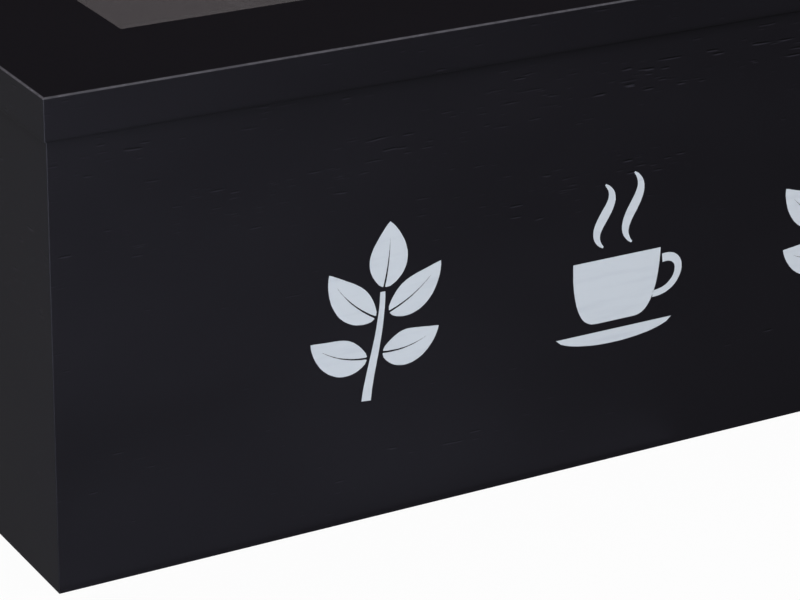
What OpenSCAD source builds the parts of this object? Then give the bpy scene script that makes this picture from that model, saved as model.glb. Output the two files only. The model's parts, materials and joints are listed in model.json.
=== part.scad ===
// Wooden box for tea bags, with six compartments and a hinged lid that has a window.
// The origin is the middle of the underside: +X to the right, +Y to the back, +Z up.

/* [Box body] */
// Width of the box over the lid, left to right
box_w = 225; // [200:1:280]
// Depth of the box over the lid, front to back
box_d = 160; // [140:1:200]
// Height of the body, from the underside to the seam under the lid
body_h = 82.3; // [78:0.1:110]
// Thickness of the four wall boards
wall_t = 9.5; // [9:0.5:13]
// Radius of the boards' crisp edges and of all upright corners
crisp_r = 0.2; // [0.1:0.05:0.3]

/* [Base] */
// Thickness of the base
base_t = 3; // [2:0.5:5]
// Width of the rebate that the base is glued into
base_seat = 5; // [3:0.5:6]

/* [Dividers] */
// Thickness of the dividers
divider_t = 3; // [2:0.5:5]
// Height of the dividers
divider_h = 66; // [30:1:70]
// Depth of the grooves that the dividers stand in
groove_depth = 2; // [1:0.5:3]
// Play of the dividers in their grooves and laps, on each side
divider_play = 0.1; // [0.05:0.05:0.2]

/* [Lid frame] */
// Distance by which the lid stands proud of the boards, all round
lid_proud = 0.5; // [0:0.1:1]
// Thickness of the lid
lid_t = 7.7; // [7:0.1:10]
// Width of the lid's rails and stiles
rail_w = 26.3; // [22:0.1:35]
// Radius of the eased edges on the lid's top
eased_r = 0.4; // [0.2:0.1:0.8]
// Radius of the lid's outer edge over the seam
lid_foot_r = 0.2; // [0.1:0.1:1.2]

/* [Window] */
// Thickness of the pane
pane_t = 2; // [1.5:0.5:2.5]
// Thickness of the wood over the pane
lip_t = 2.7; // [1.5:0.1:3]
// Width of the rebate that holds the pane and the beads
rebate_w = 5; // [4:0.5:7]
// Play of the pane in its rebate, on each side
pane_play = 0.3; // [0.1:0.1:0.5]
// Radius of the beads' rounded edge
bead_r = 1; // [0.4:0.1:1.2]
// Diameter of the brads in the beads
brad_d = 1; // [0.8:0.1:1.2]
// Length of the brads
brad_l = 12; // [8:1:16]
// Distance between two brads in one bead
brad_pitch = 60; // [30:1:70]

/* [Hinges] */
// Length of a hinge
hinge_l = 25; // [22:1:35]
// Distance from the lid's side to the middle of the nearer hinge
hinge_inset = 45; // [35:1:55]
// Distance from the lid's rear face to the hinge axis
axis_inset = 2.5; // [2.5:0.1:3]
// Width of a leaf, from the axis to its free edge
leaf_w = 6; // [5.6:0.1:6.3]
// Thickness of a leaf
leaf_t = 0.8; // [0.7:0.1:0.9]
// Diameter of the hinge pins
pin_d = 1.6; // [1.2:0.1:1.8]
// Opening angle at which the bevelled rear edges meet
open_angle = 95; // [80:1:100]
// Diameter of the hinge screws' heads
screw_head_d = 2.6; // [2.2:0.1:2.8]
// Diameter of the hinge screws' shanks
screw_d = 1.4; // [1.2:0.1:1.6]
// Length of the hinge screws
screw_l = 5.5; // [4:0.5:5.5]

/* [Hidden] */

$fn = 48;

// Colours: black as the photograph shows it, and usual ones where nothing can be seen
paint_black = [0.12, 0.12, 0.13];
inside_black = [0.16, 0.16, 0.17];
pane_grey = [0.62, 0.65, 0.66, 0.5];
steel = [0.72, 0.72, 0.70];

// Length by which a cutter passes through the face that it opens
over = 1;

// Base and dividers
inner_w = box_w - 2 * (lid_proud + wall_t);
inner_d = box_d - 2 * (lid_proud + wall_t);
base_play = 0.1;
slot_w = divider_t + 2 * divider_play;
tongue = groove_depth - divider_play;
cross_x = (inner_w + divider_t) / 6;
divider_r = 0.4;

// Heights in the lid, from its underside
bead_h = lid_t - lip_t - pane_t;
pane_margin = rail_w - rebate_w + pane_play;
brad_play = 0.03;

// Hinge axis and knuckles
axis_y = box_d / 2 - axis_inset;
hinge_x = box_w / 2 - hinge_inset;
running_gap = 0.05;
bore_r = pin_d / 2 + running_gap;
knuckle_r = bore_r + leaf_t;
knuckle_count = 5;
knuckle_pitch = hinge_l / knuckle_count;
knuckle_gap = 0.15;
knuckle_room = 0.3;
leaf_l = hinge_l - knuckle_gap;
leaf_gap = 0.1;
leaf_play = 0.1;
pin_head_t = 0.5;
pin_head_r = pin_d / 2 + 0.4;
pin_head_taper = 0.3;

// Rear bevels, which leave a thin gap on both sides of the axis
bevel_angle = open_angle / 2;
bevel_gap = 0.05;

// Hinge screws
screw_y = (knuckle_r + knuckle_room + leaf_w) / 2;
screw_x = 0.3 * hinge_l;
screw_cone_h = (screw_head_d - screw_d) / 2;
screw_tip_h = 1.2;
screw_play = 0.05;
screw_slot_w = 0.4;
screw_slot_h = 0.3;

// Removes a square corner at the origin of the first quadrant and leaves an arc of radius r
module corner_cutter(r) {
    if (r > 0)
        difference() {
            translate([-over, -over])
                square(r + over);
            translate([r, r])
                circle(r);
        }
}

// Rectangle from the origin with the radii of its corners:
// [low left, low right, high right, high left]
module eased_rectangle(w, h, radii) {
    difference() {
        square([w, h]);
        corner_cutter(radii[0]);
        translate([w, 0])
            mirror([1, 0])
                corner_cutter(radii[1]);
        translate([w, h])
            rotate(180)
                corner_cutter(radii[2]);
        translate([0, h])
            mirror([0, 1])
                corner_cutter(radii[3]);
    }
}

// Upright prism at a distance inside the lid's outline, with its four corners eased
module outline_prism(inset, h) {
    w = box_w - 2 * inset;
    d = box_d - 2 * inset;
    translate([-w / 2, -d / 2, -over])
        linear_extrude(h + 2 * over)
            eased_rectangle(w, d, [crisp_r, crisp_r, crisp_r, crisp_r]);
}

// Upright prism that gives a member at the front its two mitred ends
module mitre_prism(length, depth, member_w, h) {
    translate([0, -depth / 2, -over])
        linear_extrude(h + 2 * over)
            polygon([
                [-length / 2, 0],
                [length / 2, 0],
                [length / 2 - member_w, member_w],
                [-length / 2 + member_w, member_w],
            ]);
}

// Mitred stock along the front, at a distance inside the lid's outline. Its profile is drawn as
// (distance in from its outer face, height).
module front_member(inset, member_w, h) {
    intersection() {
        translate([-box_w / 2, inset - box_d / 2, 0])
            rotate([90, 0, 90])
                linear_extrude(box_w)
                    children();
        mitre_prism(box_w, box_d, inset + member_w, h);
        outline_prism(inset, h);
    }
}

// The same along the left side
module left_member(inset, member_w, h) {
    intersection() {
        translate([inset - box_w / 2, box_d / 2, 0])
            rotate([90, 0, 0])
                linear_extrude(box_d)
                    children();
        rotate(-90)
            mitre_prism(box_d, box_w, inset + member_w, h);
        outline_prism(inset, h);
    }
}

// Cylinder along X, centred on the hinge axis at the place x
module axis_cylinder(x, r, length) {
    translate([x - length / 2, axis_y, body_h])
        rotate([0, 90, 0])
            cylinder(h = length, r = r);
}

// Wedge cut along the rear edge at the seam. up is 1 for the lid and -1 for the body.
module rear_bevel(up) {
    reach = axis_inset + over;
    start = bevel_gap / sin(bevel_angle);
    translate([-box_w / 2 - over, axis_y, body_h])
        rotate([90, 0, 90])
            linear_extrude(box_w + 2 * over)
                polygon([
                    [-start, 0],
                    [reach, up * (reach + start) * tan(bevel_angle)],
                    [reach, -up * over],
                    [-start, -up * over],
                ]);
}

// Recess for one leaf and the knuckles, with the pilot holes of its two screws
module hinge_mortise(side, up) {
    depth = leaf_t + leaf_gap;
    channel_l = hinge_l + 2 * (pin_head_t + knuckle_room);
    axis_cylinder(side * hinge_x, knuckle_r + knuckle_room, channel_l);
    translate([
        side * hinge_x - leaf_l / 2 - leaf_play,
        axis_y - leaf_w - leaf_play,
        up > 0 ? body_h - over : body_h - depth,
    ])
        cube([leaf_l + 2 * leaf_play, leaf_w + leaf_play, depth + over]);
    screw_places(side, up)
        translate([0, 0, -screw_l - screw_play])
            cylinder(h = screw_l, r = screw_d / 2 + screw_play);
}

// Puts a child at both screws of a leaf, with its +Z pointing out of the leaf's free face
module screw_places(side, up) {
    for (end = [-1, 1])
        translate([
            side * hinge_x + end * screw_x,
            axis_y - screw_y,
            body_h + up * leaf_gap,
        ])
            rotate([up > 0 ? 180 : 0, 0, 0])
                children();
}

// Countersunk slotted screw with its head's flat at the origin, pointing down
module hinge_screw() {
    difference() {
        union() {
            translate([0, 0, -screw_cone_h])
                cylinder(h = screw_cone_h, r1 = screw_d / 2, r2 = screw_head_d / 2);
            translate([0, 0, -screw_l + screw_tip_h])
                cylinder(h = screw_l - screw_tip_h, r = screw_d / 2);
            translate([0, 0, -screw_l])
                cylinder(h = screw_tip_h, r1 = screw_d / 8, r2 = screw_d / 2);
        }
        translate([-screw_head_d, -screw_slot_w / 2, -screw_slot_h])
            cube([2 * screw_head_d, screw_slot_w, screw_slot_h + over]);
    }
}

// Section of a wall board, with the rebate for the base
module board_profile() {
    difference() {
        eased_rectangle(wall_t, body_h, [crisp_r, 0, crisp_r, crisp_r]);
        translate([wall_t - base_seat, -over])
            square([base_seat + over, base_t + over]);
    }
}

// Long wall board at the front, with grooves for the cross dividers
module long_board() {
    difference() {
        front_member(lid_proud, wall_t, body_h)
            board_profile();
        for (side = [-1, 1])
            translate([side * cross_x - slot_w / 2, -inner_d / 2 - groove_depth, base_t])
                cube([slot_w, groove_depth + over, body_h]);
    }
}

// Short wall board at the left, with a groove for the long divider
module short_board() {
    difference() {
        left_member(lid_proud, wall_t, body_h)
            board_profile();
        translate([-inner_w / 2 - groove_depth, -slot_w / 2, base_t])
            cube([groove_depth + over, slot_w, body_h]);
    }
}

module front_panel() {
    color(paint_black)
        long_board();
}

module back_panel() {
    color(paint_black)
        difference() {
            rotate(180)
                long_board();
            rear_bevel(-1);
            for (side = [-1, 1])
                hinge_mortise(side, -1);
        }
}

module left_panel() {
    color(paint_black)
        difference() {
            short_board();
            rear_bevel(-1);
        }
}

module right_panel() {
    color(paint_black)
        difference() {
            rotate(180)
                short_board();
            rear_bevel(-1);
        }
}

module bottom_panel() {
    panel_w = inner_w + 2 * (base_seat - base_play);
    panel_d = inner_d + 2 * (base_seat - base_play);
    color(inside_black)
        translate([-panel_w / 2, -panel_d / 2, 0])
            cube([panel_w, panel_d, base_t]);
}

// Upright board along X, centred, with its top edges eased
module divider_board(length) {
    translate([-length / 2, -divider_t / 2, base_t])
        rotate([90, 0, 90])
            linear_extrude(length)
                eased_rectangle(divider_t, divider_h, [0, 0, divider_r, divider_r]);
}

module long_divider() {
    lap_h = divider_h / 2;
    color(inside_black)
        difference() {
            divider_board(inner_w + 2 * tongue);
            for (side = [-1, 1])
                translate([side * cross_x - slot_w / 2, -slot_w / 2, base_t + lap_h])
                    cube([slot_w, slot_w, lap_h + over]);
        }
}

module cross_divider(side) {
    lap_h = divider_h / 2;
    color(inside_black)
        translate([side * cross_x, 0, 0])
            difference() {
                rotate(90)
                    divider_board(inner_d + 2 * tongue);
                translate([-slot_w / 2, -slot_w / 2, base_t - over])
                    cube([slot_w, slot_w, lap_h + over]);
            }
}

module cross_divider_left() {
    cross_divider(-1);
}

module cross_divider_right() {
    cross_divider(1);
}

// Leaf of one hinge with the knuckles from first_knuckle on, two places apart
module hinge_leaf(side, up, first_knuckle) {
    color(steel)
        difference() {
            union() {
                leaf_plate(side, up, leaf_l, 0, knuckle_r + knuckle_room);
                for (i = [first_knuckle : 2 : knuckle_count - 1]) {
                    offset_x = (i - (knuckle_count - 1) / 2) * knuckle_pitch;
                    knuckle_l = knuckle_pitch - knuckle_gap;
                    leaf_plate(side, up, knuckle_l, offset_x, 0);
                    axis_cylinder(side * hinge_x + offset_x, knuckle_r, knuckle_l);
                }
            }
            axis_cylinder(side * hinge_x, bore_r, hinge_l + 2 * over);
            screw_places(side, up) {
                translate([0, 0, -screw_cone_h])
                    cylinder(h = screw_cone_h, r1 = screw_d / 2, r2 = screw_head_d / 2);
                translate([0, 0, -leaf_t - over])
                    cylinder(h = leaf_t + 2 * over, r = screw_d / 2 + screw_play);
            }
        }
}

// Flat sheet of a leaf from its free edge to the distance near from the axis
module leaf_plate(side, up, length, offset_x, near) {
    translate([
        side * hinge_x + offset_x - length / 2,
        axis_y - leaf_w,
        up > 0 ? body_h + leaf_gap : body_h - leaf_gap - leaf_t,
    ])
        cube([length, leaf_w - near, leaf_t]);
}

module hinge_left_box_leaf() {
    hinge_leaf(-1, -1, 0);
}

module hinge_right_box_leaf() {
    hinge_leaf(1, -1, 0);
}

module hinge_left_lid_leaf() {
    hinge_leaf(-1, 1, 1);
}

module hinge_right_lid_leaf() {
    hinge_leaf(1, 1, 1);
}

// Pin through the knuckles of one hinge, upset at both ends
module hinge_pin(side) {
    color(steel) {
        axis_cylinder(side * hinge_x, pin_d / 2, leaf_l);
        for (end = [0, 180])
            translate([side * hinge_x, axis_y, body_h])
                rotate([0, 90, end])
                    translate([0, 0, leaf_l / 2])
                        cylinder(h = pin_head_t, r1 = pin_head_r, r2 = pin_head_r - pin_head_taper);
    }
}

module hinge_left_pin() {
    hinge_pin(-1);
}

module hinge_right_pin() {
    hinge_pin(1);
}

module box_hinge_screws() {
    color(steel)
        for (side = [-1, 1])
            screw_places(side, -1)
                hinge_screw();
}

module lid_hinge_screws() {
    color(steel)
        for (side = [-1, 1])
            screw_places(side, 1)
                hinge_screw();
}

// Section of a rail or stile, with the rebate for the pane and its bead
module rail_profile() {
    difference() {
        eased_rectangle(rail_w, lid_t, [lid_foot_r, 0, eased_r, eased_r]);
        translate([rail_w - rebate_w, -over])
            square([rebate_w + over, bead_h + pane_t + over]);
    }
}

// Section of a glazing bead, in its place in the rebate
module bead_profile() {
    translate([rail_w - rebate_w, 0])
        eased_rectangle(rebate_w, bead_h, [0, bead_r, 0, 0]);
}

// Puts a child at every brad of the front or the left bead, with +Z running into the frame
module front_brads() {
    for (step = [-1, 0, 1])
        translate([step * brad_pitch, -box_d / 2 + rail_w, bead_h / 2])
            rotate([90, 0, 0])
                children();
}

module left_brads() {
    for (step = [-0.5, 0.5])
        translate([-box_w / 2 + rail_w, step * brad_pitch, bead_h / 2])
            rotate([0, -90, 0])
                children();
}

module brad_hole() {
    translate([0, 0, -over])
        cylinder(h = brad_l + over, r = brad_d / 2 + brad_play);
}

module long_rail() {
    difference() {
        front_member(0, rail_w, lid_t)
            rail_profile();
        front_brads()
            brad_hole();
    }
}

module short_stile() {
    difference() {
        left_member(0, rail_w, lid_t)
            rail_profile();
        left_brads()
            brad_hole();
    }
}

module lid_front_rail() {
    color(paint_black)
        translate([0, 0, body_h])
            long_rail();
}

module lid_back_rail() {
    color(paint_black)
        difference() {
            translate([0, 0, body_h])
                rotate(180)
                    long_rail();
            rear_bevel(1);
            for (side = [-1, 1])
                hinge_mortise(side, 1);
        }
}

module lid_left_stile() {
    color(paint_black)
        difference() {
            translate([0, 0, body_h])
                short_stile();
            rear_bevel(1);
        }
}

module lid_right_stile() {
    color(paint_black)
        difference() {
            translate([0, 0, body_h])
                rotate(180)
                    short_stile();
            rear_bevel(1);
        }
}

module window_pane() {
    pane_w = box_w - 2 * pane_margin;
    pane_d = box_d - 2 * pane_margin;
    color(pane_grey)
        translate([-pane_w / 2, -pane_d / 2, body_h + bead_h])
            cube([pane_w, pane_d, pane_t]);
}

module long_bead() {
    color(paint_black)
        translate([0, 0, body_h])
            difference() {
                front_member(0, rail_w, bead_h)
                    bead_profile();
                front_brads()
                    brad_hole();
            }
}

module short_bead() {
    color(paint_black)
        translate([0, 0, body_h])
            difference() {
                left_member(0, rail_w, bead_h)
                    bead_profile();
                left_brads()
                    brad_hole();
            }
}

module bead_front() {
    long_bead();
}

module bead_back() {
    rotate(180)
        long_bead();
}

module bead_left() {
    short_bead();
}

module bead_right() {
    rotate(180)
        short_bead();
}

module bead_pins() {
    color(steel)
        translate([0, 0, body_h])
            for (turn = [0, 180])
                rotate(turn) {
                    front_brads()
                        cylinder(h = brad_l, r = brad_d / 2);
                    left_brads()
                        cylinder(h = brad_l, r = brad_d / 2);
                }
}

front_panel();
back_panel();
left_panel();
right_panel();
bottom_panel();
long_divider();
cross_divider_left();
cross_divider_right();
hinge_left_box_leaf();
hinge_right_box_leaf();
hinge_left_pin();
hinge_right_pin();
box_hinge_screws();
lid_front_rail();
lid_back_rail();
lid_left_stile();
lid_right_stile();
window_pane();
bead_front();
bead_back();
bead_left();
bead_right();
bead_pins();
hinge_left_lid_leaf();
hinge_right_lid_leaf();
lid_hinge_screws();
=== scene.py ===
import json
import math
import random

import bmesh
import bpy
from mathutils import Matrix, Vector

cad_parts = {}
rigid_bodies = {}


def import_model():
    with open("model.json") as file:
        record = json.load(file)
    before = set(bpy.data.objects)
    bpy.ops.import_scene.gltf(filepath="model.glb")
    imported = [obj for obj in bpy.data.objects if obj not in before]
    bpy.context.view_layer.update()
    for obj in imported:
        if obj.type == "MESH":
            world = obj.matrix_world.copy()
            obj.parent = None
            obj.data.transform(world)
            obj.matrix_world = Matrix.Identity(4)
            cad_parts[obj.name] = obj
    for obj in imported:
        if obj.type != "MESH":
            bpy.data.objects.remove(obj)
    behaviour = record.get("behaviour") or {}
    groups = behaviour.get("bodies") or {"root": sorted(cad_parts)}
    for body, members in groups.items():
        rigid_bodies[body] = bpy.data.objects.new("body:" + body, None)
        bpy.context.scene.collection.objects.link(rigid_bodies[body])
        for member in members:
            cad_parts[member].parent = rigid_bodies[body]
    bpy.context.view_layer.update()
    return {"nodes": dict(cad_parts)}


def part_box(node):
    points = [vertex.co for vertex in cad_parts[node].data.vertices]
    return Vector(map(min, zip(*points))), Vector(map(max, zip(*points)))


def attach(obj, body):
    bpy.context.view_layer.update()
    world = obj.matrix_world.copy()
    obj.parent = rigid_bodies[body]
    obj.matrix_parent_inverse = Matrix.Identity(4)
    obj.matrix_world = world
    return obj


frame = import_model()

# Camera. A long lens stands 0.6 m off, at the front left and above, and looks at the left half
# of the front board. The picture is a close crop: the box runs out of it at the left, at the
# right and at the top.
FRAME_WIDTH_PX = 800
FOCAL_PX = 3223.7
SENSOR_MM = 36
camera_place = (-0.3076, -0.5284, 0.2632)
camera_heading = 30.27
camera_tilt = 23.106
camera_roll = 0.95

camera_data = bpy.data.cameras.new("camera")
camera_data.sensor_width = SENSOR_MM
camera_data.lens = FOCAL_PX * SENSOR_MM / FRAME_WIDTH_PX
camera_data.clip_start = 0.01
camera = bpy.data.objects.new("camera", camera_data)
camera.matrix_world = (
    Matrix.Translation(camera_place)
    @ Matrix.Rotation(math.radians(-camera_heading), 4, "Z")
    @ Matrix.Rotation(math.radians(90 - camera_tilt), 4, "X")
    @ Matrix.Rotation(math.radians(camera_roll), 4, "Z")
)
bpy.context.collection.objects.link(camera)
bpy.context.scene.camera = camera


# Body boards: front, back, left and right. Solid open-pored wood, 9.5 mm thick, mitred and
# glued, then sprayed with thin black satin lacquer. The lacquer leaves the pores open, so they
# show as short dashes along each board, gathered in the arches that the growth rings make.
MM = 0.001


def linear(hex_colour):
    """An sRGB hex colour as linear RGBA."""
    parts = [int(hex_colour[i:i + 2], 16) / 255 for i in (1, 3, 5)]
    return [c / 12.92 if c <= 0.04045 else ((c + 0.055) / 1.055) ** 2.4 for c in parts] + [1]


def add(tree, kind, inputs=None, **settings):
    """Adds a shader node with its settings. An input takes a number, a colour, a socket, or a
    node, whose first live output is then linked."""
    node = tree.nodes.new("ShaderNode" + kind)
    for key, value in settings.items():
        setattr(node, key, value)
    for key, value in (inputs or {}).items():
        if isinstance(value, bpy.types.Node):
            value = next(socket for socket in value.outputs if socket.enabled)
        if isinstance(value, bpy.types.NodeSocket):
            tree.links.new(value, node.inputs[key])
        else:
            node.inputs[key].default_value = value
    return node


def begin_material(name):
    """An empty material and its node tree."""
    material = bpy.data.materials.new(name)
    material.use_nodes = True
    material.node_tree.nodes.clear()
    return material, material.node_tree


PORE_LENGTH_MM = 3.7
PORE_WIDTH_MM = 0.31
PORE_DEPTH_MM = 0.06
PORE_FADE = 0.13
CLUSTER_LENGTH_MM = 60
CLUSTER_WIDTH_MM = 16
CLUSTER_PLACE = (11, 7, 2)
CLUSTER_SHARE = 0.5
RING_PITCH_MM = 9
RING_SHARE = 0.07
PITH_PLACE_MM = (0, -46, 20)
PITH_TILT_DEG = 3.0
DENSE_GRAIN_MM = 25
OPEN_GRAIN_MM = 70
OPEN_GRAIN_SHARE = 0.08
MOST_OPEN = 0.42
# The phase of a wave texture is 20 times its place.
WAVE_PERIOD = 2 * math.pi / 20


def grain_pores(tree, grain_mm, rarity):
    """1 inside a pore and 0 between pores. Stretched noise makes the dashes. The growth rings,
    cut at a small angle to the pith, gather them in arches, and the upper part of each board,
    nearer the bark, has more of them. MOST_OPEN caps this, so that no dash swells to a blob."""
    dash_space = add(
        tree,
        "Mapping",
        {0: grain_mm, "Scale": (1 / PORE_LENGTH_MM, 1 / PORE_WIDTH_MM, 1 / PORE_WIDTH_MM)},
    )
    dashes = add(tree, "TexNoise", {"Vector": dash_space, "Scale": 1.0, "Detail": 0.0})
    cluster_space = add(
        tree,
        "Mapping",
        {
            0: grain_mm,
            "Location": CLUSTER_PLACE,
            "Scale": (1 / CLUSTER_LENGTH_MM, 1 / CLUSTER_WIDTH_MM, 1 / CLUSTER_WIDTH_MM),
        },
    )
    clusters = add(
        tree,
        "TexNoise",
        {"Vector": cluster_space, "Scale": 1.0, "Detail": 3.0, "Roughness": 0.65},
    )
    ring_space = add(
        tree,
        "Mapping",
        {
            0: grain_mm,
            "Location": PITH_PLACE_MM,
            "Rotation": (0, math.radians(PITH_TILT_DEG), math.radians(PITH_TILT_DEG)),
        },
    )
    rings = add(
        tree,
        "TexWave",
        {
            "Vector": ring_space,
            "Scale": WAVE_PERIOD / RING_PITCH_MM,
            "Distortion": 4.0,
            "Detail": 1.0,
            "Detail Scale": 0.3,
        },
        wave_type="RINGS",
        rings_direction="X",
    )
    belts = add(tree, "Math", {0: rings, 1: RING_SHARE}, operation="MULTIPLY")
    density = add(
        tree, "Math", {0: clusters, 1: CLUSTER_SHARE, 2: belts}, operation="MULTIPLY_ADD"
    )
    height_mm = add(tree, "SeparateXYZ", {0: grain_mm}).outputs["Z"]
    openness = add(
        tree,
        "MapRange",
        {0: height_mm, 1: DENSE_GRAIN_MM, 2: OPEN_GRAIN_MM, 4: OPEN_GRAIN_SHARE},
    )
    density = add(tree, "Math", {0: density, 1: openness}, operation="ADD")
    density = add(tree, "Math", {0: density, 1: MOST_OPEN}, operation="MINIMUM")
    level = add(tree, "Math", {0: density, 1: dashes}, operation="ADD")
    return add(
        tree,
        "MapRange",
        {0: level, 1: rarity, 2: rarity + PORE_FADE},
        interpolation_type="SMOOTHSTEP",
    )


LACQUER_BLACK = "#100F13"
LACQUER_GREY = "#161519"
# Grey of the lid's edge line: partly rubbed lacquer, partly a painted highlight.
RUBBED_AND_HIGHLIGHT_GREY = "#5A595D"
# Painted shade: the near black that the strip along the seam under the lid is mixed towards.
PAINTED_SEAM_SHADE_COLOUR = "#040405"
# Pore colours: a lighter lip, partly the open pore and partly a painted highlight, and a painted
# shadow just above it.
PORE_LIP_AND_HIGHLIGHT = "#2A292F"
PORE_PIT_SHADOW = "#030304"
PIT_RISE_MM = 0.3
SEAM_HEIGHT_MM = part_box("front_panel")[1][2] / MM
SEAM_BELOW_MM = 2.0
SEAM_ABOVE_MM = 0.9
SEAM_SHADE = 0.48
BOARD_PORE_RARITY = 1.143
RIM_PORE_RARITY = 1.11
# The height of a face's normal up to which it is a side, and from which it is the top.
SIDE_NORMAL = 0.5
TOP_NORMAL = 0.9
TOP_PORES_LEFT = 0.15
CLOUD_LENGTH_MM = 45
CLOUD_WIDTH_MM = 20
FIBRE_LENGTH_MM = 14
FIBRE_WIDTH_MM = 0.7
FIBRE_DEPTH_MM = 0.008
# The grey edge line, partly rubbed lacquer and partly a painted highlight, starts and is full at
# these shares of the edge's radius. Noise, which keeps mostly between its low and high, varies
# it from its least to its most along the edge.
RUB_AND_HIGHLIGHT_START = 0.1
RUB_AND_HIGHLIGHT_FULL = 0.45
RUB_AND_HIGHLIGHT_PATCH_MM = 1.3
RUB_AND_HIGHLIGHT_LEAST = 0.66
RUB_AND_HIGHLIGHT_MOST = 1.04
NOISE_LOW = 0.3
NOISE_HIGH = 0.7
SATIN_SMOOTH = 0.5
SATIN_ROUGH = 0.62
LACQUER_SPECULAR = 0.025
GRAIN_TURN_DEG = {"X": 0, "Y": -90}


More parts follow.
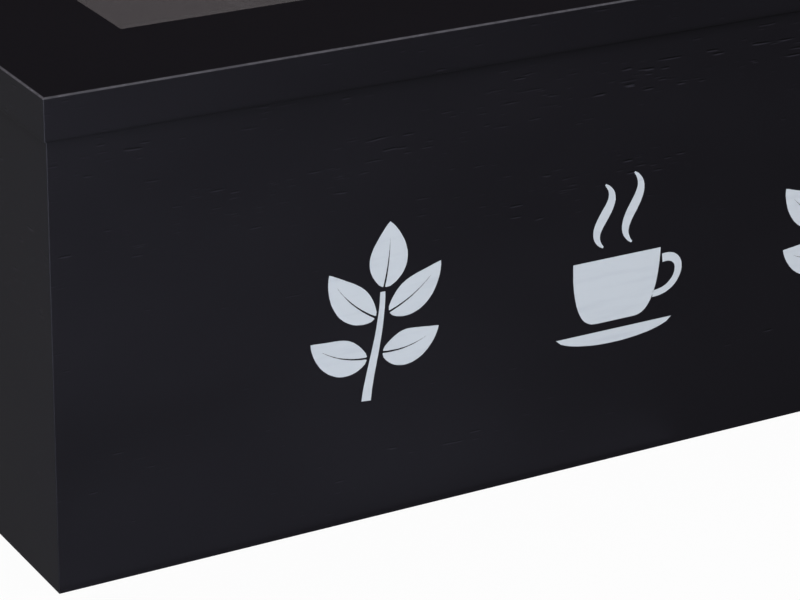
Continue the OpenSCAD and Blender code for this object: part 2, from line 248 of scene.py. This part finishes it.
def lacquered_wood(name, along, rim=None):
    """Black satin lacquer over open-pored wood. A strip at the seam under the lid is mixed
    towards near black: painted shade for the shadow under the lid's edge. rim is the outline of
    a lid, as (half width, half depth, height, radius) in millimetres: its outer top edge gets a
    grey line, partly rubbed lacquer and partly a painted highlight, and its top was sprayed lying
    flat, so the lacquer has filled most pores there."""
    material, tree = begin_material(name)
    place = add(tree, "TexCoord").outputs["Object"]
    grain_mm = add(
        tree,
        "Mapping",
        {
            0: place,
            "Rotation": (0, 0, math.radians(GRAIN_TURN_DEG[along])),
            "Scale": (1 / MM, 1 / MM, 1 / MM),
        },
    )
    rarity = RIM_PORE_RARITY if rim else BOARD_PORE_RARITY
    lips_and_highlights = grain_pores(tree, grain_mm, rarity)
    above_lip = add(tree, "Mapping", {0: grain_mm, "Location": (0, 0, -PIT_RISE_MM)})
    shaded_pits = grain_pores(tree, above_lip, rarity)
    if rim:
        normal = add(tree, "TexCoord").outputs["Normal"]
        facing_up = add(tree, "SeparateXYZ", {0: normal}).outputs["Z"]
        still_open = add(
            tree,
            "MapRange",
            {0: facing_up, 1: SIDE_NORMAL, 2: TOP_NORMAL, 3: 1.0, 4: TOP_PORES_LEFT},
        )
        lips_and_highlights = add(tree, "Math", {0: lips_and_highlights, 1: still_open}, operation="MULTIPLY")
        shaded_pits = add(tree, "Math", {0: shaded_pits, 1: still_open}, operation="MULTIPLY")
    cloud_space = add(
        tree,
        "Mapping",
        {0: grain_mm, "Scale": (1 / CLOUD_LENGTH_MM, 1 / CLOUD_WIDTH_MM, 1 / CLOUD_WIDTH_MM)},
    )
    clouds = add(tree, "TexNoise", {"Vector": cloud_space, "Scale": 1.0, "Detail": 2.0})
    colour = add(
        tree,
        "Mix",
        {0: clouds, 6: linear(LACQUER_BLACK), 7: linear(LACQUER_GREY)},
        data_type="RGBA",
    )
    # Each pore gets a painted shadow, a dark dash just above it, and a lighter lip that is partly
    # the open pore and partly a painted highlight.
    colour = add(tree, "Mix", {0: shaded_pits, 6: colour, 7: linear(PORE_PIT_SHADOW)}, data_type="RGBA")
    colour = add(tree, "Mix", {0: lips_and_highlights, 6: colour, 7: linear(PORE_LIP_AND_HIGHLIGHT)}, data_type="RGBA")
    # Painted shade: under the lid's edge the colour is mixed towards near black, strongest at the
    # seam and fading over SEAM_BELOW_MM below it and SEAM_ABOVE_MM above it.
    height_mm = add(tree, "SeparateXYZ", {0: grain_mm}).outputs["Z"]
    below = add(
        tree,
        "MapRange",
        {0: height_mm, 1: SEAM_HEIGHT_MM - SEAM_BELOW_MM, 2: SEAM_HEIGHT_MM, 4: SEAM_SHADE},
    )
    above = add(
        tree,
        "MapRange",
        {0: height_mm, 1: SEAM_HEIGHT_MM + SEAM_ABOVE_MM, 2: SEAM_HEIGHT_MM, 4: SEAM_SHADE},
    )
    painted_seam_shade = add(tree, "Math", {0: below, 1: above}, operation="MINIMUM")
    colour = add(
        tree, "Mix", {0: painted_seam_shade, 6: colour, 7: linear(PAINTED_SEAM_SHADE_COLOUR)}, data_type="RGBA"
    )
    # A grey line along the lid's outer top edge, partly lacquer rubbed thin and partly a painted
    # highlight on the rounded edge.
    if rim:
        half_w, half_d, top, radius = rim
        corner = (half_w - radius, half_d - radius, top - radius)
        in_mm = add(tree, "VectorMath", {0: place, "Scale": 1 / MM}, operation="SCALE")
        folded = add(tree, "VectorMath", {0: in_mm}, operation="ABSOLUTE")
        past = add(tree, "VectorMath", {0: folded, 1: corner}, operation="SUBTRACT")
        past_axes = add(tree, "SeparateXYZ", {0: past}).outputs
        outward = add(tree, "Math", {0: past_axes[0], 1: past_axes[1]}, operation="MAXIMUM")
        inside_edge = add(tree, "Math", {0: outward, 1: past_axes[2]}, operation="MINIMUM")
        rub_and_highlight = add(
            tree,
            "MapRange",
            {0: inside_edge, 1: RUB_AND_HIGHLIGHT_START * radius, 2: RUB_AND_HIGHLIGHT_FULL * radius},
            interpolation_type="SMOOTHSTEP",
        )
        rub_and_highlight_noise = add(tree, "TexNoise", {"Vector": in_mm, "Scale": 1 / RUB_AND_HIGHLIGHT_PATCH_MM, "Detail": 2.0})
        rub_and_highlight_noise = add(
            tree,
            "MapRange",
            {0: rub_and_highlight_noise, 1: NOISE_LOW, 2: NOISE_HIGH, 3: RUB_AND_HIGHLIGHT_LEAST, 4: RUB_AND_HIGHLIGHT_MOST},
        )
        rub_and_highlight = add(tree, "Math", {0: rub_and_highlight, 1: rub_and_highlight_noise}, operation="MULTIPLY")
        colour = add(
            tree, "Mix", {0: rub_and_highlight, 6: colour, 7: linear(RUBBED_AND_HIGHLIGHT_GREY)}, data_type="RGBA"
        )
    fibre_space = add(
        tree,
        "Mapping",
        {0: grain_mm, "Scale": (1 / FIBRE_LENGTH_MM, 1 / FIBRE_WIDTH_MM, 1 / FIBRE_WIDTH_MM)},
    )
    fibres = add(tree, "TexNoise", {"Vector": fibre_space, "Scale": 1.0, "Detail": 3.0})
    height = add(tree, "Math", {0: shaded_pits, 1: -PORE_DEPTH_MM * MM}, operation="MULTIPLY")
    height = add(
        tree,
        "Math",
        {0: fibres, 1: FIBRE_DEPTH_MM * MM, 2: height},
        operation="MULTIPLY_ADD",
    )
    bump = add(tree, "Bump", {"Height": height, "Distance": 1.0, "Strength": 1.0})
    roughness = add(tree, "MapRange", {0: clouds, 3: SATIN_SMOOTH, 4: SATIN_ROUGH})
    surface = add(
        tree,
        "BsdfPrincipled",
        {
            "Base Color": colour,
            "Roughness": roughness,
            "Specular IOR Level": LACQUER_SPECULAR,
            "Normal": bump,
        },
    )
    add(tree, "OutputMaterial", {0: surface})
    return material


def dress(nodes, material):
    """Gives CAD nodes a material."""
    for name in nodes:
        frame["nodes"][name].data.materials.clear()
        frame["nodes"][name].data.materials.append(material)


lacquer_along_x = lacquered_wood("black_lacquered_wood_along_x", "X")
lacquer_along_y = lacquered_wood("black_lacquered_wood_along_y", "Y")
dress(["front_panel", "back_panel"], lacquer_along_x)
dress(["left_panel", "right_panel"], lacquer_along_y)


# Base and dividers. Thin hardboard, cut square, half lapped and dropped into the grooves, and
# painted matt black. The paint soaks in, so the faces show only a fine felted mottle.
HARDBOARD_BLACK = "#151516"
HARDBOARD_GREY = "#1F1F20"
HARDBOARD_ROUGHNESS = 0.8
HARDBOARD_SPECULAR = 0.15
FELT_MM = 1.2
FELT_DEPTH_MM = 0.03


def painted_hardboard():
    """Matt black paint on pressed fibreboard."""
    material, tree = begin_material("matt_black_hardboard")
    place = add(tree, "TexCoord").outputs["Object"]
    felt_space = add(tree, "VectorMath", {0: place, "Scale": 1 / MM / FELT_MM}, operation="SCALE")
    felt = add(
        tree,
        "TexNoise",
        {"Vector": felt_space, "Scale": 1.0, "Detail": 4.0, "Roughness": 0.7},
    )
    colour = add(
        tree,
        "Mix",
        {0: felt, 6: linear(HARDBOARD_BLACK), 7: linear(HARDBOARD_GREY)},
        data_type="RGBA",
    )
    height = add(tree, "Math", {0: felt, 1: FELT_DEPTH_MM * MM}, operation="MULTIPLY")
    bump = add(tree, "Bump", {"Height": height, "Distance": 1.0, "Strength": 1.0})
    surface = add(
        tree,
        "BsdfPrincipled",
        {
            "Base Color": colour,
            "Roughness": HARDBOARD_ROUGHNESS,
            "Specular IOR Level": HARDBOARD_SPECULAR,
            "Normal": bump,
        },
    )
    add(tree, "OutputMaterial", {0: surface})
    return material


dress(
    ["bottom_panel", "long_divider", "cross_divider_left", "cross_divider_right"],
    painted_hardboard(),
)


# Decoration on the front board. White paint, rolled through a stencil in one thin flat coat:
# a sprig, a cup and a second sprig, with the bridges of the stencil left open. The paint is
# matt and slightly cool, and the deepest pores still show through it.
MOTIF_PITCH_MM = 50
MOTIF_FOOT_MM = 23.4
PAINT_MM = 0.03
BRIDGE_MM = 0.7
TREMOR_MM = 0.02
STROKE_STEPS = 24
CURVE_STEP = 0.001


def curve_point(path, t):
    """A point of the cubic curve with four control points in path, at t from 0 to 1."""
    weights = ((1 - t) ** 3, 3 * t * (1 - t) ** 2, 3 * t * t * (1 - t), t ** 3)
    return Vector((
        sum(w * p[0] for w, p in zip(weights, path)),
        sum(w * p[1] for w, p in zip(weights, path)),
    ))


def beside(path, t, offset):
    """The point at t, moved to the left of the path by offset."""
    ahead = curve_point(path, min(t + CURVE_STEP, 1))
    run = ahead - curve_point(path, max(t - CURVE_STEP, 0))
    run.normalize()
    return curve_point(path, t) + Vector((-run.y, run.x)) * offset


def stroke(path, half_width):
    """Outline of a stroke along a curve. half_width gives its half width at t."""
    stops = [i / STROKE_STEPS for i in range(STROKE_STEPS + 1)]
    left = [beside(path, t, half_width(t)) for t in stops]
    right = [beside(path, t, -half_width(t)) for t in stops]
    return left + right[::-1]


# Places along a leaf run from 0 at its base to 1 at its tip. The belly below 1 moves the
# widest place towards the base, and the fullness below 1 rounds the outline. The half widths
# of the foot, the tip and the midrib are shares of the stencil's bridge.
LEAF_START = 0.02
LEAF_BELLY = 0.8
LEAF_FULLNESS = 0.85
LEAF_FOOT = 0.45
LEAF_TIP = 0.5
RIB_END = 0.78
RIB_FOOT = 0.28
RIB_TIP_MM = 0.01


def leaf(base, tip, width, bend):
    """Outline of a pointed leaf from base to tip, with its midrib left open from the base."""
    base = Vector(base)
    tip = Vector(tip)
    run = tip - base
    side = Vector((-run.y, run.x)).normalized() * bend
    path = [base, base + run / 3 + side, base + run * 2 / 3 + side, tip]

    def half_width(t):
        swell = math.sin(math.pi * t ** LEAF_BELLY) ** LEAF_FULLNESS
        return max(width / 2 * swell, BRIDGE_MM * LEAF_TIP)

    def rib(t):
        return BRIDGE_MM * RIB_FOOT * (1 - t / RIB_END) + RIB_TIP_MM

    edge = [i / STROKE_STEPS for i in range(1, STROKE_STEPS)]
    ribs = [i / STROKE_STEPS * RIB_END for i in range(1, STROKE_STEPS + 1)]
    outline = [beside(path, LEAF_START, BRIDGE_MM * LEAF_FOOT)]
    outline += [beside(path, t, half_width(t)) for t in edge]
    outline += [curve_point(path, 1)]
    outline += [beside(path, t, -half_width(t)) for t in edge[::-1]]
    outline += [beside(path, LEAF_START, -BRIDGE_MM * LEAF_FOOT)]
    outline += [beside(path, t, -rib(t)) for t in ribs]
    outline += [beside(path, t, rib(t)) for t in ribs[-2::-1]]
    return outline


def sprig():
    """Outlines of a sprig: a stem, two pairs of leaves and a leaf at the top."""
    stem = [(-2.2, 0), (-1.6, 6), (0.8, 12), (0.9, 20.3)]
    return [
        stroke(stem, lambda t: 0.95 - 0.45 * t),
        leaf((1.1, 20.9), (2.2, 33.3), 7.6, -0.6),
        leaf((-0.3, 15.6), (-9.8, 25.4), 6.6, 1.4),
        leaf((2.0, 16.2), (12.6, 24.0), 6.6, -1.4),
        leaf((-1.9, 8.2), (-13.4, 13.0), 6.8, 1.6),
        leaf((0.8, 8.8), (12.4, 11.6), 6.8, -1.6),
    ]


BOWL_FOOT_MM = 3.6
BOWL_FLARE_MM = 5.9
BOWL_TOP_MM = 17.6
BOWL_DEPTH_MM = 12.6
BOWL_CURVE = 0.7
SAUCER_REACH_MM = 12.6
SAUCER_TOP_MM = 3.3
SAUCER_DEPTH_MM = 2.7
SAUCER_CURVE = 0.6
STEAM_FOOT_MM = 19.9
STEAM_SWAY_MM = 5.2


def cup():
    """Outlines of a cup with its handle, its saucer and two wisps of steam."""
    stops = [i / STROKE_STEPS for i in range(STROKE_STEPS + 1)]
    half_bowl = [
        Vector((
            BOWL_FOOT_MM + BOWL_FLARE_MM * math.cos(math.pi / 2 * t) ** BOWL_CURVE,
            BOWL_TOP_MM - BOWL_DEPTH_MM * math.sin(math.pi / 2 * t),
        ))
        for t in stops
    ]
    bowl = [Vector((-p.x, p.y)) for p in half_bowl[::-1]] + half_bowl
    handle = [(10.0, 15.4), (15.6, 16.2), (14.6, 8.4), (8.2, 8.6)]
    saucer = [
        Vector((
            SAUCER_REACH_MM * (1 - 2 * t),
            SAUCER_TOP_MM - SAUCER_DEPTH_MM * (4 * t * (1 - t)) ** SAUCER_CURVE,
        ))
        for t in stops
    ]
    outlines = [bowl, stroke(handle, lambda t: 0.85 - 0.2 * t), saucer]
    for x, reach in ((-3.2, 12.2), (3.0, 13.6)):
        wave = [
            (x, STEAM_FOOT_MM),
            (x - STEAM_SWAY_MM, STEAM_FOOT_MM + reach / 3),
            (x + STEAM_SWAY_MM, STEAM_FOOT_MM + reach * 2 / 3),
            (x, STEAM_FOOT_MM + reach),
        ]
        outlines.append(stroke(wave, lambda t: 0.16 + 0.85 * math.sin(math.pi * t) ** 0.8))
    return outlines


def painted_motif(name, outlines, centre_x, side):
    """A thin flat coat of paint on the front board, from outlines in millimetres. side is 1,
    or -1 for the stencil turned over."""
    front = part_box("front_panel")[0][1]
    tremor = random.Random(name)
    mesh = bmesh.new()
    for outline in outlines:
        on_board = []
        on_top = []
        for point in outline:
            x = centre_x + side * point.x + tremor.uniform(-TREMOR_MM, TREMOR_MM)
            z = MOTIF_FOOT_MM + point.y + tremor.uniform(-TREMOR_MM, TREMOR_MM)
            on_board.append(mesh.verts.new((x * MM, front, z * MM)))
            on_top.append(mesh.verts.new((x * MM, front - PAINT_MM * MM, z * MM)))
        mesh.faces.new(on_board)
        mesh.faces.new(on_top[::-1])
        for i in range(len(outline)):
            mesh.faces.new((on_board[i - 1], on_top[i - 1], on_top[i], on_board[i]))
    # A concave face needs its normal before it is cut into triangles.
    mesh.normal_update()
    bmesh.ops.triangulate(mesh, faces=mesh.faces)
    bmesh.ops.recalc_face_normals(mesh, faces=mesh.faces)
    data = bpy.data.meshes.new(name)
    mesh.to_mesh(data)
    mesh.free()
    piece = bpy.data.objects.new(name, data)
    bpy.context.collection.objects.link(piece)
    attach(piece, "box")
    return piece


STENCIL_WHITE = "#CCD5DA"
STENCIL_THIN = "#B4BDC6"
STENCIL_ROUGHNESS = 0.6
STENCIL_SPECULAR = 0.2
DEEP_PORES = 0.03
PAINTED_PORE_DEPTH_MM = 0.02
PORE_THINNING = 0.6
STREAK_LENGTH_MM = 12
STREAK_WIDTH_MM = 1.6
STREAK_FROM = 0.45
STREAK_TO = 0.85
STREAK_THINNING = 0.35


def stencil_paint():
    """Matt white paint in a thin coat over open-pored wood."""
    material, tree = begin_material("white_stencil_paint")
    place = add(tree, "TexCoord").outputs["Object"]
    grain_mm = add(tree, "VectorMath", {0: place, "Scale": 1 / MM}, operation="SCALE")
    pores = grain_pores(tree, grain_mm, BOARD_PORE_RARITY + DEEP_PORES)
    streak_space = add(
        tree,
        "Mapping",
        {
            0: grain_mm,
            "Scale": (1 / STREAK_LENGTH_MM, 1 / STREAK_WIDTH_MM, 1 / STREAK_WIDTH_MM),
        },
    )
    streaks = add(tree, "TexNoise", {"Vector": streak_space, "Scale": 1.0, "Detail": 3.0})
    thin = add(
        tree,
        "MapRange",
        {0: streaks, 1: STREAK_FROM, 2: STREAK_TO, 4: STREAK_THINNING},
        interpolation_type="SMOOTHSTEP",
    )
    thin = add(
        tree,
        "Math",
        {0: pores, 1: PORE_THINNING, 2: thin},
        operation="MULTIPLY_ADD",
        use_clamp=True,
    )
    colour = add(
        tree,
        "Mix",
        {0: thin, 6: linear(STENCIL_WHITE), 7: linear(STENCIL_THIN)},
        data_type="RGBA",
    )
    height = add(tree, "Math", {0: pores, 1: -PAINTED_PORE_DEPTH_MM * MM}, operation="MULTIPLY")
    bump = add(tree, "Bump", {"Height": height, "Distance": 1.0, "Strength": 1.0})
    surface = add(
        tree,
        "BsdfPrincipled",
        {
            "Base Color": colour,
            "Roughness": STENCIL_ROUGHNESS,
            "Specular IOR Level": STENCIL_SPECULAR,
            "Normal": bump,
        },
    )
    add(tree, "OutputMaterial", {0: surface})
    return material


white_paint = stencil_paint()
for motif_name, outlines, pitches, side in (
    ("painted_sprig_left", sprig(), -1, 1),
    ("painted_cup", cup(), 0, 1),
    ("painted_sprig_right", sprig(), 1, -1),
):
    motif = painted_motif(motif_name, outlines, pitches * MOTIF_PITCH_MM, side)
    motif.data.materials.append(white_paint)


# Hinges. Two small butt hinges let into the rear rim and the lid, each with two leaves and a
# pin with upset ends. Pressed steel, nickel plated: smooth and slightly warm, with the fine
# draw lines of the sheet under the plating.
NICKEL = "#B9B4AA"
NICKEL_DULL = "#8F8B84"
NICKEL_SMOOTH = 0.2
NICKEL_ROUGH = 0.4
DRAW_LINE_LENGTH_MM = 9
DRAW_LINE_PITCH_MM = 0.12
DRAW_LINE_DEPTH_MM = 0.002
DULL_SPOT_MM = 2.5
DULL_FROM = 0.45
DULL_TO = 0.75


def plated_steel():
    """Nickel plate over rolled steel, with its draw lines and a few dull spots."""
    material, tree = begin_material("nickel_plated_steel")
    place = add(tree, "TexCoord").outputs["Object"]
    in_mm = add(tree, "VectorMath", {0: place, "Scale": 1 / MM}, operation="SCALE")
    line_space = add(
        tree,
        "Mapping",
        {
            0: in_mm,
            "Scale": (1 / DRAW_LINE_LENGTH_MM, 1 / DRAW_LINE_PITCH_MM, 1 / DRAW_LINE_PITCH_MM),
        },
    )
    lines = add(tree, "TexNoise", {"Vector": line_space, "Scale": 1.0, "Detail": 3.0})
    spots = add(tree, "TexNoise", {"Vector": in_mm, "Scale": 1 / DULL_SPOT_MM, "Detail": 3.0})
    dull = add(
        tree,
        "MapRange",
        {0: spots, 1: DULL_FROM, 2: DULL_TO},
        interpolation_type="SMOOTHSTEP",
    )
    colour = add(
        tree, "Mix", {0: dull, 6: linear(NICKEL), 7: linear(NICKEL_DULL)}, data_type="RGBA"
    )
    roughness = add(tree, "MapRange", {0: lines, 3: NICKEL_SMOOTH, 4: NICKEL_ROUGH})
    height = add(tree, "Math", {0: lines, 1: DRAW_LINE_DEPTH_MM * MM}, operation="MULTIPLY")
    bump = add(tree, "Bump", {"Height": height, "Distance": 1.0, "Strength": 1.0})
    surface = add(
        tree,
        "BsdfPrincipled",
        {"Base Color": colour, "Metallic": 1.0, "Roughness": roughness, "Normal": bump},
    )
    add(tree, "OutputMaterial", {0: surface})
    return material


dress(
    [
        "hinge_left_box_leaf",
        "hinge_right_box_leaf",
        "hinge_left_lid_leaf",
        "hinge_right_lid_leaf",
        "hinge_left_pin",
        "hinge_right_pin",
    ],
    plated_steel(),
)


# Hinge screws. Two slotted countersunk screws in each leaf, flush with it. Turned steel, zinc
# plated and passivated: greyer, bluer and duller than the leaves, with a crystalline bloom.
ZINC = "#7C8188"
ZINC_DULL = "#5A5E66"
ZINC_SMOOTH = 0.35
ZINC_ROUGH = 0.55
BLOOM_MM = 0.25


def zinc_plate():
    """Zinc plate on small turned steel parts."""
    material, tree = begin_material("zinc_plated_steel")
    place = add(tree, "TexCoord").outputs["Object"]
    bloom_space = add(
        tree, "VectorMath", {0: place, "Scale": 1 / MM / BLOOM_MM}, operation="SCALE"
    )
    bloom = add(tree, "TexNoise", {"Vector": bloom_space, "Scale": 1.0, "Detail": 2.0})
    colour = add(
        tree, "Mix", {0: bloom, 6: linear(ZINC), 7: linear(ZINC_DULL)}, data_type="RGBA"
    )
    roughness = add(tree, "MapRange", {0: bloom, 3: ZINC_SMOOTH, 4: ZINC_ROUGH})
    surface = add(
        tree,
        "BsdfPrincipled",
        {"Base Color": colour, "Metallic": 1.0, "Roughness": roughness},
    )
    add(tree, "OutputMaterial", {0: surface})
    return material


zinc_plated = zinc_plate()
dress(["box_hinge_screws", "lid_hinge_screws"], zinc_plated)


# Lid frame. Two rails and two stiles of the same wood as the boards, mitred and glued, with
# the same black lacquer. It stands half a millimetre proud of the boards all round. A fine grey
# line along the outer top edge is partly lacquer rubbed thin by handling and partly a painted
# highlight on the rounded edge.
LID_EDGE_RADIUS_MM = 0.4
lid_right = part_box("lid_right_stile")[1]
lid_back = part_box("lid_back_rail")[1]
lid_rim = (lid_right[0] / MM, lid_back[1] / MM, lid_right[2] / MM, LID_EDGE_RADIUS_MM)
dress(
    ["lid_front_rail", "lid_back_rail"],
    lacquered_wood("rubbed_and_highlit_lacquered_wood_along_x", "X", lid_rim),
)
dress(
    ["lid_left_stile", "lid_right_stile"],
    lacquered_wood("rubbed_and_highlit_lacquered_wood_along_y", "Y", lid_rim),
)


# Window. One pane of clear 2 mm float glass, cut and seamed, laid in the frame's rebate. It
# is smooth and mirrors the room at a low angle, and lets the light down into the compartments.
GLASS_TINT = "#F2F8F5"
GLASS_IOR = 1.5


def float_glass():
    """Clear glass that lets lamps light what lies under it."""
    material, tree = begin_material("clear_float_glass")
    glass = add(
        tree,
        "BsdfPrincipled",
        {
            "Base Color": linear(GLASS_TINT),
            "Roughness": 0.0,
            "IOR": GLASS_IOR,
            "Transmission Weight": 1.0,
        },
    )
    clear = add(tree, "BsdfTransparent", {"Color": linear(GLASS_TINT)})
    rays = add(tree, "LightPath")
    surface = add(tree, "MixShader", {0: rays.outputs["Is Shadow Ray"], 1: glass, 2: clear})
    add(tree, "OutputMaterial", {0: surface})
    return material


dress(["window_pane"], float_glass())


# Glazing beads. Four thin mitred strips of the same wood under the pane, rounded on the inner
# edge, lacquered with the frame and held by headless steel brads.
dress(["bead_front", "bead_back"], lacquer_along_x)
dress(["bead_left", "bead_right"], lacquer_along_y)
dress(["bead_pins"], zinc_plated)


# Studio. A pale floor stands in for the white surface under the box, in a room of plain grey
# light with three soft lamps: one at the front left, one at the right and one behind.
FLOOR_SIZE = 8.0
FLOOR_PALE = "#F2F2F2"
FLOOR_GLOW = 0.95


def pale_floor():
    """A pale floor that the camera and mirrors see as white, with the object's shadow on it."""
    material, tree = begin_material("pale_floor")
    matt = add(tree, "BsdfDiffuse", {"Color": linear(FLOOR_PALE)})
    glow = add(tree, "Emission", {"Color": (1, 1, 1, 1), "Strength": 1.0})
    rays = add(tree, "LightPath").outputs
    seen = add(
        tree,
        "Math",
        {0: rays["Is Camera Ray"], 1: rays["Is Glossy Ray"]},
        operation="MAXIMUM",
    )
    seen = add(
        tree, "Math", {0: rays["Is Transmission Ray"], 1: seen}, operation="MAXIMUM"
    )
    share = add(tree, "Math", {0: seen, 1: FLOOR_GLOW}, operation="MULTIPLY")
    surface = add(tree, "MixShader", {0: share, 1: matt, 2: glow})
    add(tree, "OutputMaterial", {0: surface})
    return material


half_floor = FLOOR_SIZE / 2
floor_mesh = bpy.data.meshes.new("floor")
floor_mesh.from_pydata(
    [(x * half_floor, y * half_floor, 0) for x, y in ((-1, -1), (1, -1), (1, 1), (-1, 1))],
    [],
    [(0, 1, 2, 3)],
)
floor = bpy.data.objects.new("floor", floor_mesh)
bpy.context.collection.objects.link(floor)
floor.data.materials.append(pale_floor())


def soft_lamp(name, place, target, size, watts, colour):
    """A soft box of a width and height at a place, turned to the target."""
    data = bpy.data.lights.new(name, "AREA")
    data.shape = "RECTANGLE"
    data.size, data.size_y = size
    data.energy = watts
    data.color = colour
    lamp = bpy.data.objects.new(name, data)
    lamp.location = place
    lamp.rotation_euler = (Vector(target) - Vector(place)).to_track_quat("-Z", "Y").to_euler()
    bpy.context.collection.objects.link(lamp)
    return lamp


COOL_WHITE = (0.84, 0.93, 1.0)
WARM_WHITE = (1.0, 0.9, 0.93)
BOX_MIDDLE = (0, 0, 0.05)
for lamp_name, place, size, watts, colour in (
    ("lamp_front", (-0.4, -1.1, 1.1), (0.8, 0.8), 8.3, COOL_WHITE),
    ("lamp_right", (1.2, -0.5, 0.7), (0.8, 0.8), 5, WARM_WHITE),
    ("lamp_back", (-0.6, 1.2, 0.7), (0.8, 0.8), 5, WARM_WHITE),
):
    lamp = soft_lamp(lamp_name, place, BOX_MIDDLE, size, watts, colour)
    lamp.visible_glossy = False
    lamp.visible_transmission = False

# Five low lamps give the front board the sheen that fades to the right: a wide one stands half
# sunk in the floor, and four lie on it. Only gloss shows them, and they light everything but
# the pane, which would mirror them as bright squares.
BLUE_WHITE = (0.8, 0.84, 1.0)
lit_by_sheen = bpy.data.collections.new("lit_by_sheen")
for piece in bpy.context.scene.objects:
    if piece.type == "MESH" and piece != frame["nodes"]["window_pane"]:
        lit_by_sheen.objects.link(piece)
for lamp_name, place, target, size, watts in (
    ("sheen_wide", (-0.28, -0.25, 0.002), (-0.05, -0.08, 0.03), (0.3, 0.3), 21.2),
    ("sheen_near", (-0.07, -0.12, 0.002), (-0.07, -0.119, 1), (0.06, 0.06), 0.0155),
    ("sheen_middle", (-0.035, -0.105, 0.002), (-0.035, -0.104, 1), (0.04, 0.04), 0.0107),
    ("sheen_right", (0, -0.14, 0.002), (0, -0.139, 1), (0.05, 0.05), 0.0215),
    ("sheen_foot", (-0.05, -0.085, 0.001), (-0.05, -0.084, 1), (0.13, 0.01), 0.0071),
):
    lamp = soft_lamp(lamp_name, place, target, size, watts, BLUE_WHITE)
    lamp.visible_camera = False
    lamp.visible_diffuse = False
    lamp.visible_transmission = False
    lamp.light_linking.receiver_collection = lit_by_sheen

# The room is white to the camera and behind the glass, grey where it lights the box, and
# darker where the box mirrors it.
ROOM_LIGHT = (0.5, 0.465, 0.48, 1)
ROOM_MIRRORED = (0.2, 0.175, 0.186, 1)
ROOM_WHITE = (1, 1, 1, 1)
NO_BOUNCE_YET = 0.5

world = bpy.data.worlds.new("room")
world.use_nodes = True
room = world.node_tree
room.nodes.clear()
ambient = add(room, "Background", {"Color": ROOM_LIGHT, "Strength": 1.0})
mirrored = add(room, "Background", {"Color": ROOM_MIRRORED, "Strength": 1.0})
white = add(room, "Background", {"Color": ROOM_WHITE, "Strength": 1.0})
rays = add(room, "LightPath").outputs
first_light = add(
    room, "Math", {0: rays["Diffuse Depth"], 1: NO_BOUNCE_YET}, operation="LESS_THAN"
)
in_mirror = add(
    room, "Math", {0: rays["Is Glossy Ray"], 1: first_light}, operation="MULTIPLY"
)
unmirrored = add(
    room, "Math", {0: rays["Glossy Depth"], 1: NO_BOUNCE_YET}, operation="LESS_THAN"
)
straight = add(room, "Math", {0: unmirrored, 1: first_light}, operation="MULTIPLY")
through = add(
    room, "Math", {0: rays["Is Transmission Ray"], 1: straight}, operation="MULTIPLY"
)
seen = add(room, "Math", {0: rays["Is Camera Ray"], 1: through}, operation="MAXIMUM")
light = add(room, "MixShader", {0: in_mirror, 1: ambient, 2: mirrored})
light = add(room, "MixShader", {0: seen, 1: light, 2: white})
add(room, "OutputWorld", {0: light})
bpy.context.scene.world = world
bpy.context.scene.view_settings.view_transform = "Standard"
